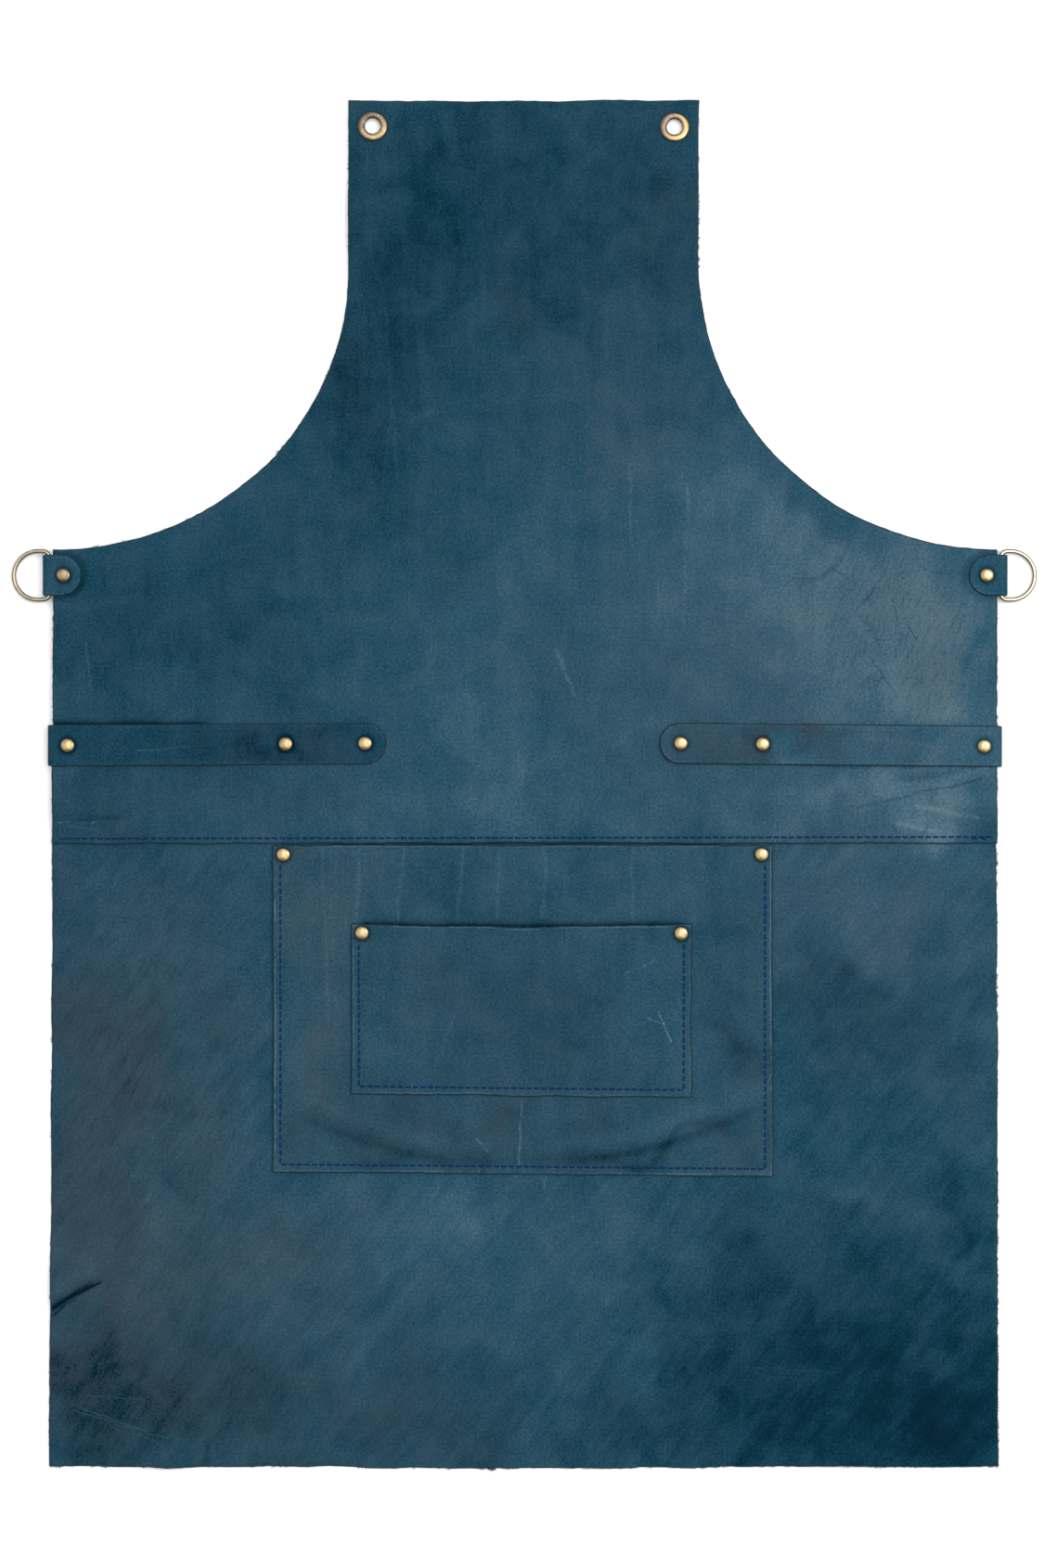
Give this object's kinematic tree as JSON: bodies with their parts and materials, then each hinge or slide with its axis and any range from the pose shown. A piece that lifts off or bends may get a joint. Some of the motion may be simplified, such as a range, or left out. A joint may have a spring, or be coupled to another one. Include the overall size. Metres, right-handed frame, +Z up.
{
  "type": "leather grill apron",
  "caption": "Bib apron of heavy blue leather with riveted waist straps, D-ring tabs, neck eyelets and a pocket on a pocket, lying flat, front up.",
  "frame": {"origin": "middle of the outline, on the surface the apron lies on", "axes": "+X across the apron to the right as seen from above, +Y from the hem to the bib, +Z up off the surface, out of the apron's front"},
  "size_m": [0.6482, 0.864, 0.0183],
  "materials": {
    "panel_leather": "matt waxed pull-up leather, dark blue with paler rubbed clouds and scratches",
    "pocket_leather": "matt waxed pull-up leather, a little paler, streaked and creased",
    "strap_leather": "matt waxed pull-up leather, clouded",
    "ring_metal": "antique brass plating, semi-bright with dark hollows",
    "eyelet_metal": "antique brass plating, rubbed bright on the crest",
    "rivet_metal": "antique brass plating, bright dome with a dark rim",
    "thread": "waxed dark blue sewing thread"
  },
  "bodies": {
    "apron": {"upper_panel": "panel_leather", "lower_panel": "panel_leather", "large_pocket": "pocket_leather", "small_pocket": "pocket_leather", "side_strap_left": "strap_leather", "ring_tab_left": "strap_leather", "eyelet_left": "eyelet_metal", "side_strap_right": "strap_leather", "ring_tab_right": "strap_leather", "eyelet_right": "eyelet_metal", "rivet_tab_left": "rivet_metal", "rivet_strap_left_inner": "rivet_metal", "rivet_strap_left_middle": "rivet_metal", "rivet_strap_left_outer": "rivet_metal", "rivet_large_pocket_left": "rivet_metal", "rivet_small_pocket_left": "rivet_metal", "rivet_tab_right": "rivet_metal", "rivet_strap_right_inner": "rivet_metal", "rivet_strap_right_middle": "rivet_metal", "rivet_strap_right_outer": "rivet_metal", "rivet_large_pocket_right": "rivet_metal", "rivet_small_pocket_right": "rivet_metal"},
    "ring_left": {"d_ring_left": "ring_metal"},
    "ring_right": {"d_ring_right": "ring_metal"}
  },
  "joints": [
    {"name": "ring_left_swing", "type": "hinge", "parent": "apron", "child": "ring_left", "pos_m": [-0.30009, 0.1315, 0.004], "axis": [0, 1, 0], "range_deg": [0, 120]},
    {"name": "ring_right_swing", "type": "hinge", "parent": "apron", "child": "ring_right", "pos_m": [0.30113, 0.1315, 0.004], "axis": [0, -1, 0], "range_deg": [0, 120]}
  ]
}
